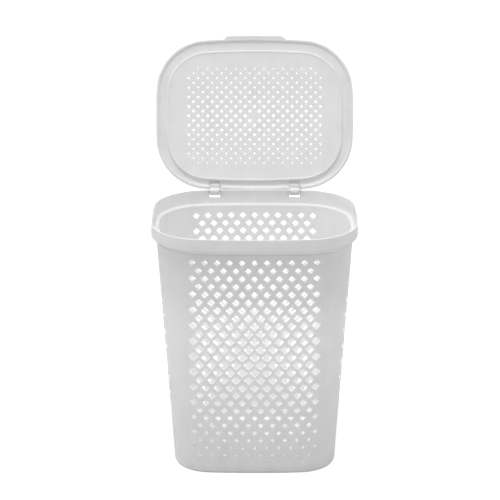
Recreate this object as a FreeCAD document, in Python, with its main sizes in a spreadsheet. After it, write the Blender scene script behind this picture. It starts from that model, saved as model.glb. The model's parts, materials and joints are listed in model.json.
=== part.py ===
import FreeCAD, Part
import math
import os

import Sketcher
from FreeCAD import Placement, Rotation, Vector

# Laundry hamper with a hinged lid: a tapered, perforated plastic basket with a stepped collar,
# and a perforated lid that turns on two pins behind the collar. Millimetres, +Z up, +X to the
# right, -Y to the front. The origin is the middle of the base, on the floor.

doc = FreeCAD.newDocument("laundry_hamper")

# ---------------------------------------------------------------- driving dimensions
DIMENSIONS = [
    ("rim_width", 430.0, "collar, outside, left to right"),
    ("rim_depth", 332.0, "collar, outside, front to back"),
    ("rim_corner", 112.0, "corner radius of the collar"),
    ("neck_width", 409.0, "basket just under the collar"),
    ("neck_depth", 311.0, "basket just under the collar"),
    ("neck_corner", 102.0, "corner radius under the collar"),
    ("base_width", 346.0, "basket at the floor"),
    ("base_depth", 273.0, "basket at the floor"),
    ("base_corner", 78.0, "corner radius at the floor"),
    ("bow_front", 1600.0, "radius of the bowed front and back"),
    ("bow_side", 1550.0, "radius of the bowed sides"),
    ("body_height", 536.0, "floor to the top of the rim"),
    ("collar_height", 36.0, "rim down to where the shoulder meets the wall"),
    ("shoulder_height", 9.0, "height of the sloping shoulder"),
    ("foot_round", 4.0, "broken edge round the base"),
    ("wall", 2.4, "wall thickness of the basket"),
    ("floor_thickness", 3.0, "thickness of the base plate"),
    ("diamond_pitch", 25.4, "between diamonds in one row"),
    ("diamond_row", 17.52, "between rows of diamonds"),
    ("first_row_drop", 54.3, "rim down to the first row"),
    ("diamond_top", 14.2, "width of a diamond in the top row"),
    ("diamond_middle", 21.6, "width of a diamond in the middle row"),
    ("diamond_bottom", 5.0, "width of a diamond in the bottom row"),
    ("diamond_aspect", 0.92, "height of a diamond over its width"),
    ("hold_length", 100.0, "hand-hold, front to back"),
    ("hold_height", 28.0, "hand-hold, top to bottom"),
    ("hold_drop", 54.0, "rim down to the middle of the hand-hold"),
    ("hinge_offset", 87.0, "middle of the hamper to the middle of a hinge"),
    ("notch_width", 23.0, "notch in the rim at a hinge"),
    ("notch_depth", 16.5, "rim down to the bottom of a notch"),
    ("axis_back", 3.5, "hinge axis behind the back of the rim"),
    ("axis_drop", 6.0, "hinge axis under the top of the rim"),
    ("ear_radius", 6.0, "round ear that holds a pin"),
    ("ear_thickness", 5.0, "thickness of an ear"),
    ("stop_reach", 13.0, "hinge axis to the back of the stop"),
    ("stop_drop", 0.25, "hinge axis down to the top of the stop"),
    ("pin_radius", 2.0, "hinge pin"),
    ("pin_head_radius", 3.2, "head of a hinge pin"),
    ("pin_head", 1.2, "thickness of the head"),
    ("running_fit", 0.05, "radial clearance of clip on pin"),
    ("clip_width", 21.0, "hinge clip, left to right"),
    ("clip_barrel", 6.0, "outside radius of the clip's barrel"),
    ("clip_arm", 3.0, "thickness of the clip's arm"),
    ("clip_reach", 15.5, "hinge axis forward to the front of the arm"),
    ("clip_pad", 12.0, "pad of the clip under the lid, front to back"),
    ("lid_gap", 0.4, "closed lid above the rim"),
    ("lid_overhang", 1.0, "lid past the collar, all round"),
    ("lid_thickness", 2.2, "thickness of the lid's skin"),
    ("lid_height", 6.6, "edge of the lid, top to bottom"),
    ("lid_bevel", 2.5, "broken outer edge of the lid"),
    ("lip_width", 4.5, "lip round the edge of the lid"),
    ("panel_side", 25.0, "edge of the lid to the sunk panel at the sides"),
    ("panel_front", 27.5, "edge of the lid to the sunk panel at the front"),
    ("panel_back", 21.0, "edge of the lid to the sunk panel at the back"),
    ("panel_sink", 1.6, "underside of the panel under the lip"),
    ("dot_pitch", 20.55, "between diamonds in one row of the lid"),
    ("dot_row", 10.33, "between rows of diamonds in the lid"),
    ("dot_edge", 5.0, "width of a diamond in the lid's outer rows"),
    ("dot_middle", 9.8, "width of a diamond in the middle of the lid"),
    ("tab_width", 118.0, "finger tab, along its front edge"),
    ("tab_flare", 9.0, "how far each end of the tab slopes"),
    ("tab_reach", 6.4, "finger tab past the edge of the lid"),
    ("tab_thickness", 2.5, "thickness of the finger tab"),
    ("rib_thickness", 1.6, "small ribs beside each clip"),
    ("open_angle", 111.0, "closed to fully open, in degrees"),
]

ROWS = 27               # rows of diamonds in the front and back walls
COLUMNS = 11            # diamonds in an odd row
SIDE_COLUMNS = 7        # diamonds in an odd row of a side wall
SIDE_FIRST_ROW = 4      # the hand-hold takes the place of the rows above
LID_ROWS = 21
LID_COLUMNS = 15
SIDES = (("left", -1), ("right", 1))

sheet = doc.addObject("Spreadsheet::Sheet", "Size")
for line, (alias, value, meaning) in enumerate(DIMENSIONS, start=1):
    sheet.set("A%d" % line, meaning)
    sheet.set("B%d" % line, str(value))
    sheet.setAlias("B%d" % line, alias)
doc.recompute()


def size(alias):
    """Value of one cell of the sheet."""
    return float(getattr(sheet, alias))


def bind(obj, **formulas):
    """Bind properties of an object to formulas of the sheet's cells."""
    for prop, formula in formulas.items():
        obj.setExpression(prop.replace("__", "."), formula)


# ---------------------------------------------------------------- plan outlines
def arc(centre, radius, first, last):
    """Counterclockwise arc between two directions given as angles."""
    circle = Part.Circle(Vector(centre[0], centre[1], 0), Vector(0, 0, 1), radius)
    return Part.ArcOfCircle(circle, first, last)


def corner_centre(half_x, half_y, corner, bow_front, bow_side):
    """Centre of the corner arc that is tangent to the bowed front and the bowed side."""
    front = (0.0, half_y - bow_front)
    side = (half_x - bow_side, 0.0)
    reach_front = bow_front - corner
    reach_side = bow_side - corner
    along = (side[0] - front[0], side[1] - front[1])
    apart = math.hypot(*along)
    foot = (reach_front ** 2 - reach_side ** 2 + apart ** 2) / (2 * apart)
    rise = math.sqrt(reach_front ** 2 - foot ** 2)
    unit = (along[0] / apart, along[1] / apart)
    return (front[0] + foot * unit[0] + rise * unit[1],
            front[1] + foot * unit[1] - rise * unit[0])


def outline(name, width, depth, corner, inset="0", centre_y="0", height="0"):
    """Sketch of a rounded rectangle whose four sides bow outward: eight tangent arcs.

    Every size is a formula, so the sketch follows the sheet; inset moves it inward all round.
    """
    probe = {"half_x": "(%s) / 2 - (%s)" % (width, inset),
             "half_y": "(%s) / 2 - (%s)" % (depth, inset),
             "corner": "(%s) - (%s)" % (corner, inset),
             "bow_front": "Size.bow_front - (%s)" % inset,
             "bow_side": "Size.bow_side - (%s)" % inset}
    sketch = doc.addObject("Sketcher::SketchObject", name)
    value = {key: sketch.evalExpression(formula) for key, formula in probe.items()}
    value = {key: float(getattr(number, "Value", number)) for key, number in value.items()}
    cx, cy = corner_centre(**value)
    rise_front = value["bow_front"] - value["half_y"]
    rise_side = value["bow_side"] - value["half_x"]
    lean_front = math.atan2(cy + rise_front, cx)
    lean_side = math.atan2(cy, cx + rise_side)
    quarter, half = math.pi / 2, math.pi
    radius, front, side = value["corner"], value["bow_front"], value["bow_side"]
    sketch.addGeometry([
        arc((-rise_side, 0), side, -lean_side, lean_side),
        arc((cx, cy), radius, lean_side, lean_front),
        arc((0, -rise_front), front, lean_front, half - lean_front),
        arc((-cx, cy), radius, half - lean_front, half - lean_side),
        arc((rise_side, 0), side, half - lean_side, half + lean_side),
        arc((-cx, -cy), radius, half + lean_side, half + lean_front),
        arc((0, rise_front), front, half + lean_front, 2 * half - lean_front),
        arc((cx, -cy), radius, 2 * half - lean_front, 2 * half - lean_side)], False)
    for index in range(8):
        sketch.addConstraint(Sketcher.Constraint("Tangent", index, 2, (index + 1) % 8, 1))
    for first, second in ((0, 4), (2, 6), (1, 3), (1, 5), (1, 7)):
        sketch.addConstraint(Sketcher.Constraint("Equal", first, second))
    for index, axis in ((0, -1), (4, -1), (2, -2), (6, -2)):
        sketch.addConstraint(Sketcher.Constraint("PointOnObject", index, 3, axis))
    driven = [("Radius", (0,), side, probe["bow_side"]),
              ("Radius", (1,), radius, probe["corner"]),
              ("Radius", (2,), front, probe["bow_front"]),
              ("DistanceX", (0, 3, -1, 1), rise_side,
               "(%s) - (%s)" % (probe["bow_side"], probe["half_x"])),
              ("DistanceX", (-1, 1, 4, 3), rise_side,
               "(%s) - (%s)" % (probe["bow_side"], probe["half_x"])),
              ("DistanceY", (2, 3, -1, 1), rise_front,
               "(%s) - (%s)" % (probe["bow_front"], probe["half_y"])),
              ("DistanceY", (-1, 1, 6, 3), rise_front,
               "(%s) - (%s)" % (probe["bow_front"], probe["half_y"]))]
    for kind, geometry, number, formula in driven:
        index = sketch.addConstraint(Sketcher.Constraint(kind, *geometry, number))
        sketch.setExpression("Constraints[%d]" % index, formula)
    sketch.setExpression(".Placement.Base.y", centre_y)
    sketch.setExpression(".Placement.Base.z", height)
    return sketch


def loft(name, sections):
    """Solid through a stack of outlines, straight between each two."""
    solid = doc.addObject("Part::Loft", name)
    solid.Sections = sections
    solid.Solid = True
    solid.Ruled = True
    return solid


def cut(name, base, tool):
    result = doc.addObject("Part::Cut", name)
    result.Base = base
    result.Tool = tool
    return result


def fuse(name, shapes):
    result = doc.addObject("Part::MultiFuse", name)
    result.Shapes = shapes
    return result


def box(name, length, width, height, x, y, z):
    """Box from its three sizes and its lowest corner, all formulas."""
    block = doc.addObject("Part::Box", name)
    bind(block, Length=length, Width=width, Height=height,
         Placement__Base__x=x, Placement__Base__y=y, Placement__Base__z=z)
    return block


def rod(name, radius, length, x, y, z):
    """Cylinder along +X from its start point, all formulas."""
    cylinder = doc.addObject("Part::Cylinder", name)
    cylinder.Placement = Placement(Vector(), Rotation(Vector(0, 1, 0), 90))
    bind(cylinder, Radius=radius, Height=length,
         Placement__Base__x=x, Placement__Base__y=y, Placement__Base__z=z)
    return cylinder


def solid_feature(name, shape):
    feature = doc.addObject("Part::Feature", name)
    feature.Shape = shape
    return feature


# ---------------------------------------------------------------- basket
RIM = ("Size.rim_width", "Size.rim_depth", "Size.rim_corner")
NECK = ("Size.neck_width", "Size.neck_depth", "Size.neck_corner")
BASE = ("Size.base_width", "Size.base_depth", "Size.base_corner")
SHOULDER = "Size.body_height - Size.collar_height"

outside = loft("basket_outside", [
    outline("foot_outline", *BASE, inset="Size.foot_round * 0.7"),
    outline("base_outline", *BASE, height="Size.foot_round"),
    outline("neck_outline", *NECK, height=SHOULDER),
    outline("collar_outline", *RIM, height=SHOULDER + " + Size.shoulder_height"),
    outline("rim_outline", *RIM, height="Size.body_height")])
inside = loft("basket_inside", [
    outline("floor_inside", *BASE, inset="Size.wall", height="Size.floor_thickness"),
    outline("neck_inside", *NECK, inset="Size.wall", height=SHOULDER + " + 1"),
    outline("collar_inside", *RIM, inset="Size.wall",
            height=SHOULDER + " + Size.shoulder_height + 1"),
    outline("rim_inside", *RIM, inset="Size.wall", height="Size.body_height + 1")])
basket_shell = cut("basket_shell", outside, inside)


def diamond(width, height, place, along, reach):
    """Prism with a diamond section, standing on one corner, centred on a point."""
    half_w, half_h = width / 2, height / 2
    across = Vector(0, 0, 1).cross(along)
    up = Vector(0, 0, 1)
    start = place - along * reach
    corners = [start + across * half_w, start + up * half_h,
               start - across * half_w, start - up * half_h]
    face = Part.Face(Part.makePolygon(corners + corners[:1]))
    return face.extrude(along * 2 * reach)


def wall_diamond(row):
    """Width of a diamond in a row of the walls: largest in the middle row."""
    middle = (ROWS - 1) / 2
    if row <= middle:
        return size("diamond_top") + (size("diamond_middle") - size("diamond_top")) * row / middle
    return size("diamond_middle") + ((size("diamond_bottom") - size("diamond_middle"))
                                     * (row - middle) / middle)


def wall_cutter(columns, first_row, along, reach):
    """All diamonds of two facing walls, as prisms that pass through both."""
    prisms = []
    across = Vector(0, 0, 1).cross(along)
    for row in range(first_row, ROWS):
        count = columns - row % 2
        width = wall_diamond(row)
        level = size("body_height") - size("first_row_drop") - row * size("diamond_row")
        for column in range(count):
            shift = (column - (count - 1) / 2) * size("diamond_pitch")
            place = across * shift + Vector(0, 0, level)
            prisms.append(diamond(width, width * size("diamond_aspect"), place, along, reach))
    return prisms


front_prisms = wall_cutter(COLUMNS, 0, Vector(0, 1, 0), size("rim_depth"))
side_prisms = wall_cutter(SIDE_COLUMNS, SIDE_FIRST_ROW, Vector(1, 0, 0), size("rim_width"))
wall_perforation = solid_feature("wall_perforation",
                                 Part.makeCompound(front_prisms + side_prisms))

# one slot through both side walls, with round ends
HOLD_REACH = "Size.rim_width"
HOLD_LEVEL = "Size.body_height - Size.hold_drop"
hold_middle = box("hold_middle", HOLD_REACH, "Size.hold_length - Size.hold_height",
                  "Size.hold_height", "-Size.rim_width / 2",
                  "-(Size.hold_length - Size.hold_height) / 2",
                  HOLD_LEVEL + " - Size.hold_height / 2")
hold_ends = [rod("hold_end_" + name, "Size.hold_height / 2", HOLD_REACH, "-Size.rim_width / 2",
                 "%d * (Size.hold_length - Size.hold_height) / 2" % sign, HOLD_LEVEL)
             for name, sign in (("front", -1), ("back", 1))]
hand_holds = fuse("hand_holds", [hold_middle] + hold_ends)

# at each hinge: two ears with a stop behind the rim, and a notch in the rim between them
AXIS_Y = "(Size.rim_depth / 2 + Size.axis_back)"
AXIS_Z = "(Size.body_height - Size.axis_drop)"
EAR_FRONT = "(Size.rim_depth / 2 - Size.wall - 2)"

ears = []
notches = []
bores = []
for hand, sign in SIDES:
    middle = "%d * Size.hinge_offset" % sign
    bores.append(rod("pin_bore_" + hand, "Size.pin_radius",
                     "Size.notch_width + 2 * Size.ear_thickness",
                     middle + " - Size.notch_width / 2 - Size.ear_thickness", AXIS_Y, AXIS_Z))
    notches.append(box("notch_" + hand, "Size.notch_width", "30", "Size.notch_depth + 5",
                       middle + " - Size.notch_width / 2", "Size.rim_depth / 2 - 20",
                       "Size.body_height - Size.notch_depth"))
    for end, start in (("inner", middle + " - Size.notch_width / 2 - Size.ear_thickness"),
                       ("outer", middle + " + Size.notch_width / 2")):
        tag = "%s_%s" % (hand, end)
        ears.append(rod("ear_round_" + tag, "Size.ear_radius", "Size.ear_thickness",
                        start, AXIS_Y, AXIS_Z))
        ears.append(box("ear_root_" + tag, "Size.ear_thickness",
                        AXIS_Y + " - " + EAR_FRONT, "2 * Size.ear_radius - 1",
                        start, EAR_FRONT, AXIS_Z + " - Size.ear_radius"))
        ears.append(box("ear_stop_" + tag, "Size.ear_thickness",
                        "Size.stop_reach", "Size.ear_radius - Size.stop_drop",
                        start, AXIS_Y, AXIS_Z + " - Size.ear_radius"))

ear_blocks = fuse("ear_blocks", ears)
outer_ears = cut("ears_outside_collar", ear_blocks, inside)
basket_openings = fuse("basket_openings", [hand_holds] + notches + bores)
basket_plain = fuse("basket_plain", [basket_shell, outer_ears])
basket_opened = cut("basket_opened", basket_plain, basket_openings)
basket = cut("basket_body", basket_opened, wall_perforation)

# ---------------------------------------------------------------- lid, drawn closed
LID = ("(Size.rim_width + 2 * Size.lid_overhang)", "(Size.rim_depth + 2 * Size.lid_overhang)",
       "(Size.rim_corner + Size.lid_overhang)")
PANEL_INSET = "(Size.panel_front + Size.panel_back) / 2"
PANEL = ("(Size.rim_width + 2 * Size.lid_overhang - 2 * Size.panel_side)",
         "(Size.rim_depth + 2 * Size.lid_overhang - Size.panel_front - Size.panel_back)",
         "(Size.rim_corner + Size.lid_overhang - " + PANEL_INSET + ")")
PANEL_Y = "(Size.panel_front - Size.panel_back) / 2"
LID_LOW = "(Size.body_height + Size.lid_gap)"
LID_TOP = "(Size.body_height + Size.lid_gap + Size.lid_height)"
PANEL_LOW = "(Size.body_height + Size.lid_gap - Size.panel_sink)"

lid_slab = loft("lid_slab", [
    outline("lid_low", *LID, height=LID_LOW),
    outline("lid_edge", *LID, height=LID_TOP + " - Size.lid_bevel"),
    outline("lid_top", *LID, inset="Size.lid_bevel", height=LID_TOP)])
panel_block = loft("panel_block", [
    outline("panel_low", *PANEL, centre_y=PANEL_Y, height=PANEL_LOW),
    outline("panel_high", *PANEL, centre_y=PANEL_Y, height=LID_TOP)])
channel_block = loft("channel_block", [
    outline("channel_low", *LID, inset="Size.lip_width", height=LID_LOW + " - 1"),
    outline("channel_high", *LID, inset="Size.lip_width",
            height=LID_TOP + " - Size.lid_thickness")])
panel_core = loft("panel_core", [
    outline("core_low", *PANEL, centre_y=PANEL_Y, height=PANEL_LOW + " - 2"),
    outline("core_high", *PANEL, centre_y=PANEL_Y, height=LID_TOP + " + 1")])
channel = cut("channel", channel_block, panel_core)
recess = loft("panel_recess", [
    outline("recess_low", *PANEL, inset="Size.lid_thickness", centre_y=PANEL_Y,
            height=PANEL_LOW + " + Size.lid_thickness"),
    outline("recess_high", *PANEL, inset="Size.lid_thickness", centre_y=PANEL_Y,
            height=LID_TOP + " + 1")])


def tab_prism():
    """Finger tab: a flat strip with sloping ends, rooted in the lip."""
    edge = -(size("rim_depth") / 2 + size("lid_overhang"))
    front = edge - size("tab_reach")
    root = edge + size("lip_width")
    narrow = size("tab_width") / 2
    wide = narrow + size("tab_flare")
    low = size("body_height") + size("lid_gap") + 1.0
    plan = [Vector(-wide, root, low), Vector(-wide, edge + 2, low), Vector(-narrow, front, low),
            Vector(narrow, front, low), Vector(wide, edge + 2, low), Vector(wide, root, low)]
    face = Part.Face(Part.makePolygon(plan + plan[:1]))
    return face.extrude(Vector(0, 0, size("tab_thickness")))


def dot_width(row, column, columns):
    """Width of a diamond in the lid: it shrinks from the middle to the outer rows."""
    across_rows = 1 - abs(row - (LID_ROWS - 1) / 2) / ((LID_ROWS - 1) / 2)
    across_columns = 1 - abs(column - (columns - 1) / 2) / (LID_COLUMNS / 2)
    growth = across_rows * (0.7 + 0.3 * across_columns)
    return size("dot_edge") + (size("dot_middle") - size("dot_edge")) * growth


def lid_prisms():
    """Diamonds of the lid; the one in the very middle is left closed."""
    prisms = []
    for row in range(LID_ROWS):
        count = LID_COLUMNS - row % 2
        if row in (0, LID_ROWS - 1):
            count = LID_COLUMNS - 2
        for column in range(count):
            across = (column - (count - 1) / 2) * size("dot_pitch")
            along = (row - (LID_ROWS - 1) / 2) * size("dot_row")
            if abs(across) < 1 and abs(along) < 1:
                continue
            half = dot_width(row, column, count) / 2
            middle = Vector(across, along + (size("panel_front") - size("panel_back")) / 2,
                            size("body_height") - 5)
            plan = [middle + Vector(half, 0, 0), middle + Vector(0, half, 0),
                    middle + Vector(-half, 0, 0), middle + Vector(0, -half, 0)]
            face = Part.Face(Part.makePolygon(plan + plan[:1]))
            prisms.append(face.extrude(Vector(0, 0, 15)))
    return prisms


tab = solid_feature("finger_tab", tab_prism())
lid_perforation = solid_feature("lid_perforation", Part.makeCompound(lid_prisms()))

# two small ribs under the channel at each hinge, one each side of the clip
RIB_GAP = "(Size.clip_width + 0.6)"
RIB_BACK = AXIS_Y + " - Size.axis_back - 7"
ribs = []
for hand, sign in SIDES:
    middle = "%d * Size.hinge_offset" % sign
    for end, start in (("inner", middle + " - " + RIB_GAP + " / 2 - Size.rib_thickness"),
                       ("outer", middle + " + " + RIB_GAP + " / 2")):
        ribs.append(box("rib_%s_%s" % (hand, end), "Size.rib_thickness", "10",
                        "Size.lid_height - 1", start, RIB_BACK + " - 10",
                        LID_LOW + " + 0.5"))

lid_skin = cut("lid_skin", fuse("lid_solid", [lid_slab, panel_block, tab]),
               fuse("lid_hollows", [channel, recess]))
lid_ribbed = fuse("lid_ribbed", [lid_skin] + ribs)
lid = cut("lid", lid_ribbed, lid_perforation)


# ---------------------------------------------------------------- hinge pins and clips
def sketch_profile(body, plane, name, points):
    """Closed chain of lines in one of a body's own origin planes."""
    sketch = body.newObject("Sketcher::SketchObject", name)
    support = [item for item in body.Origin.OriginFeatures if item.Role == plane][0]
    sketch.AttachmentSupport = (support, [""])
    sketch.MapMode = "FlatFace"
    count = len(points)
    for index, point in enumerate(points):
        following = points[(index + 1) % count]
        sketch.addGeometry(Part.LineSegment(Vector(*point, 0), Vector(*following, 0)), False)
    for index in range(count):
        sketch.addConstraint(Sketcher.Constraint("Coincident", index, 2, (index + 1) % count, 1))
    for index, point in enumerate(points):
        following = points[(index + 1) % count]
        if abs(point[1] - following[1]) < 1e-6:
            sketch.addConstraint(Sketcher.Constraint("Horizontal", index))
        elif abs(point[0] - following[0]) < 1e-6:
            sketch.addConstraint(Sketcher.Constraint("Vertical", index))
    return sketch


def drive(sketch, kind, geometry, formula):
    """Add one driving length to a sketch, bound to a formula."""
    value = sketch.evalExpression(formula)
    value = float(getattr(value, "Value", value))
    index = sketch.addConstraint(Sketcher.Constraint(kind, *geometry, value))
    sketch.setExpression("Constraints[%d]" % index, formula)


def hinge_pin(hand, sign):
    """Headed pin along X, turned from one profile, its head on the outer ear."""
    body = doc.addObject("PartDesign::Body", "hinge_pin_" + hand)
    length = size("notch_width") + 2 * size("ear_thickness")
    head = size("pin_head")
    points = [(0, 0), (length + head, 0), (length + head, size("pin_head_radius")),
              (length, size("pin_head_radius")), (length, size("pin_radius")),
              (0, size("pin_radius"))]
    profile = sketch_profile(body, "XY_Plane", "pin_profile_" + hand, points)
    profile.addConstraint(Sketcher.Constraint("Coincident", 0, 1, -1, 1))
    drive(profile, "DistanceX", (0, 1, 0, 2),
          "Size.notch_width + 2 * Size.ear_thickness + Size.pin_head")
    drive(profile, "DistanceY", (1, 1, 1, 2), "Size.pin_head_radius")
    drive(profile, "DistanceX", (2, 2, 2, 1), "Size.pin_head")
    drive(profile, "DistanceY", (5, 2, 5, 1), "Size.pin_radius")
    turned = body.newObject("PartDesign::Revolution", "pin_turned_" + hand)
    turned.Profile = profile
    turned.ReferenceAxis = (profile, ["H_Axis"])
    turned.Angle = 360
    half = size("notch_width") / 2 + size("ear_thickness")
    facing = Rotation(Vector(0, 0, 1), 0 if sign > 0 else 180)
    axis_y = size("rim_depth") / 2 + size("axis_back")
    axis_z = size("body_height") - size("axis_drop")
    start = Vector(sign * (size("hinge_offset") - half), axis_y, axis_z)
    body.Placement = Placement(start, facing)
    return body


def hinge_clip(hand):
    """Clip that hangs under the lid and turns on the pin; its frame is the hinge axis.

    An arm runs forward from the barrel, turns up in front of the rim and ends in a flat pad.
    """
    body = doc.addObject("PartDesign::Body", "hinge_clip_" + hand)
    arm, reach, pad = size("clip_arm"), size("clip_reach"), size("clip_pad")
    top = size("axis_drop") + size("lid_gap") + size("lid_height") - size("lid_thickness")
    low = -arm / 2
    back = -reach + arm
    points = [(0, low), (0, low + arm), (back, low + arm), (back, top - arm + 1),
              (back + 2, top - arm + 1), (back + 2, top), (back + 2 - pad, top),
              (back + 2 - pad, top - arm + 1), (-reach, top - arm + 1), (-reach, low)]
    arm_sketch = sketch_profile(body, "YZ_Plane", "clip_profile_" + hand, points)
    drive(arm_sketch, "DistanceY", (0, 1, 0, 2), "Size.clip_arm")
    drive(arm_sketch, "DistanceX", (9, 1, 9, 2), "Size.clip_reach")
    arm_pad = body.newObject("PartDesign::Pad", "clip_arm_" + hand)
    arm_pad.Profile = arm_sketch
    arm_pad.SideType = "Symmetric"
    bind(arm_pad, Length="Size.clip_width")
    barrel_sketch = body.newObject("Sketcher::SketchObject", "barrel_profile_" + hand)
    plane = [item for item in body.Origin.OriginFeatures if item.Role == "YZ_Plane"][0]
    barrel_sketch.AttachmentSupport = (plane, [""])
    barrel_sketch.MapMode = "FlatFace"
    barrel_sketch.addGeometry(Part.Circle(Vector(), Vector(0, 0, 1), size("clip_barrel")), False)
    barrel_sketch.addConstraint(Sketcher.Constraint("Coincident", 0, 3, -1, 1))
    drive(barrel_sketch, "Radius", (0,), "Size.clip_barrel")
    barrel = body.newObject("PartDesign::Pad", "clip_barrel_" + hand)
    barrel.Profile = barrel_sketch
    barrel.SideType = "Symmetric"
    bind(barrel, Length="Size.clip_width")
    bore_sketch = body.newObject("Sketcher::SketchObject", "bore_profile_" + hand)
    bore_sketch.AttachmentSupport = (plane, [""])
    bore_sketch.MapMode = "FlatFace"
    bore_sketch.addGeometry(Part.Circle(Vector(), Vector(0, 0, 1), size("pin_radius")), False)
    bore_sketch.addConstraint(Sketcher.Constraint("Coincident", 0, 3, -1, 1))
    drive(bore_sketch, "Radius", (0,), "Size.pin_radius + Size.running_fit")
    bore = body.newObject("PartDesign::Pocket", "clip_bore_" + hand)
    bore.Profile = bore_sketch
    bore.SideType = "Symmetric"
    bind(bore, Length="Size.clip_width + 2")
    return body


pins = [hinge_pin(hand, sign) for hand, sign in SIDES]
clips = [hinge_clip(hand) for hand, sign in SIDES]
doc.recompute()

# ---------------------------------------------------------------- the lid stands open
axis_point = Vector(0, size("rim_depth") / 2 + size("axis_back"),
                    size("body_height") - size("axis_drop"))
opened = Rotation(Vector(1, 0, 0), -size("open_angle"))
lid.Placement = Placement(axis_point - opened.multVec(axis_point), opened)
for clip, (hand, sign) in zip(clips, SIDES):
    clip.Placement = Placement(axis_point + Vector(sign * size("hinge_offset"), 0, 0), opened)
doc.recompute()

# ---------------------------------------------------------------- checks and files
for obj in doc.Objects:
    faults = [state for state in obj.State if state in ("Invalid", "Error")]
    if faults:
        raise RuntimeError("%s is %s" % (obj.Name, faults))

os.makedirs("parts", exist_ok=True)
for piece in [basket, lid] + clips + pins:
    piece.Label = piece.Name
    if piece.Shape.isNull() or not piece.Shape.isValid():
        raise RuntimeError(piece.Name + " has no valid shape")
    piece.Shape.exportStep("parts/%s.step" % piece.Label)
    box_now = piece.Shape.BoundBox
    print("%s: %d solid(s), %.1f cm3, x %.1f..%.1f y %.1f..%.1f z %.1f..%.1f" % (
        piece.Label, len(piece.Shape.Solids), piece.Shape.Volume / 1000, box_now.XMin,
        box_now.XMax, box_now.YMin, box_now.YMax, box_now.ZMin, box_now.ZMax))
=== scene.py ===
import json
import math

import bpy
import numpy as np
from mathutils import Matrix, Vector


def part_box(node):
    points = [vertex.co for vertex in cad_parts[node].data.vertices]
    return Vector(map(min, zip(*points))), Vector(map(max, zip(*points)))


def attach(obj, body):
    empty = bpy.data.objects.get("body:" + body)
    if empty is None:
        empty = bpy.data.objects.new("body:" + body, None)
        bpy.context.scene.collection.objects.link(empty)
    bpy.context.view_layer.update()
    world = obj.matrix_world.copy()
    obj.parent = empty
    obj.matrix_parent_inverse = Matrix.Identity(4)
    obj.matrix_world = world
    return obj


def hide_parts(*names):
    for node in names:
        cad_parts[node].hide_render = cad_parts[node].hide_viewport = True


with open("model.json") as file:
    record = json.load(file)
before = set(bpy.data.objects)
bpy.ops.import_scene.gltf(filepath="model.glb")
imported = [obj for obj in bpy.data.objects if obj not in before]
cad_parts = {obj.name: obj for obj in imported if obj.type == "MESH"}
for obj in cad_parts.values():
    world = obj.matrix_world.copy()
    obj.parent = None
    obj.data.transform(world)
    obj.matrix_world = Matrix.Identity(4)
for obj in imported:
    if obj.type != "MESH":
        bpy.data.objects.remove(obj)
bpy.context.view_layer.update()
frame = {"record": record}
basketLow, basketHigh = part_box("basket_body")
hinge = frame["record"]["behaviour"]["joints"][0]
hingeY, hingeZ = hinge["pos_m"][1], hinge["pos_m"][2]
openAngle = math.radians(hinge["range_deg"][1])
rimTop = basketHigh[2]
rimHalfX = (basketHigh[0] - basketLow[0]) / 2
rimHalfY = -basketLow[1]
print("frame loaded, rim at", round(rimTop, 4))

# the plan outline is a rounded rectangle whose four sides bow outward, all in metres
outlineShape = dict(bowFront=1.6, bowSide=1.55)

basketShape = dict(
    rimCorner=0.112,
    neckHalfX=0.2045, neckHalfY=0.1555, neckCorner=0.102, neckZ=0.500,
    baseHalfX=0.1730, baseHalfY=0.1365, baseCorner=0.078, baseZ=0.004,
    shoulder=0.009, softOutside=20.0, softInside=8.0,
    plateShares=(0.97, 0.955, 0.945, 0.70, 0.40, 0.15),
    plateRecess=(0.0, 0.0, 0.0012, 0.0014, 0.0014, 0.0014),
    ledgeFrom=(0.0, 0.4985, 0.501, 0.510, 0.5135, 1.0),
    ledgeTo=(0.0, 0.4985, 0.5045, 0.5065, 0.5135, 1.0),
    wall=0.0024, floor=0.003, footRound=0.005, floorRound=0.006, rimRound=0.0012,
    insideLift=0.001, cornerSteps=12)

diamondShape = dict(
    pitch=0.0254, row=0.01752, rows=27, columns=11, sideColumns=7, sideFirstRow=4,
    firstDrop=0.0543, top=0.0142, middle=0.0216, bottom=0.0050, aspect=0.92,
    cornerCut=0.05, edge=0.0003)

holdShape = dict(length=0.100, height=0.028, drop=0.054, edge=0.0007, lines=5, levels=2)
notchShape = dict(offset=0.087, width=0.023, depth=0.0165, lines=(6, 7, 8))


# mesh bookkeeping: points and faces are collected as arrays, then written once
def newShell():
    return dict(points=[], rub=[], faces=[], count=0)


def addPoints(shell, points, rub=0.0):
    points = np.asarray(points, float)
    flat = points.reshape(-1, 3)
    first = shell["count"]
    shell["points"].append(flat)
    shell["rub"].append(np.full(len(flat), float(rub)) if np.isscalar(rub)
                        else np.asarray(rub, float).reshape(-1))
    shell["count"] = first + len(flat)
    return (first + np.arange(len(flat))).reshape(points.shape[:-1])


def addFaces(shell, *corners):
    faces = np.stack([np.asarray(corner).reshape(-1) for corner in corners], axis=1)
    shell["faces"].append(faces)


def gridFaces(shell, lower, upper, closed=True):
    # quads between two rows of points, outside on the left hand of the walk
    nextLower = np.roll(lower, -1) if closed else lower[1:]
    nextUpper = np.roll(upper, -1) if closed else upper[1:]
    end = len(lower) if closed else len(lower) - 1
    addFaces(shell, lower[:end], nextLower[:end], nextUpper[:end], upper[:end])


evenWeight = 80                   # how much the larger faces decide the smooth shading


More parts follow.
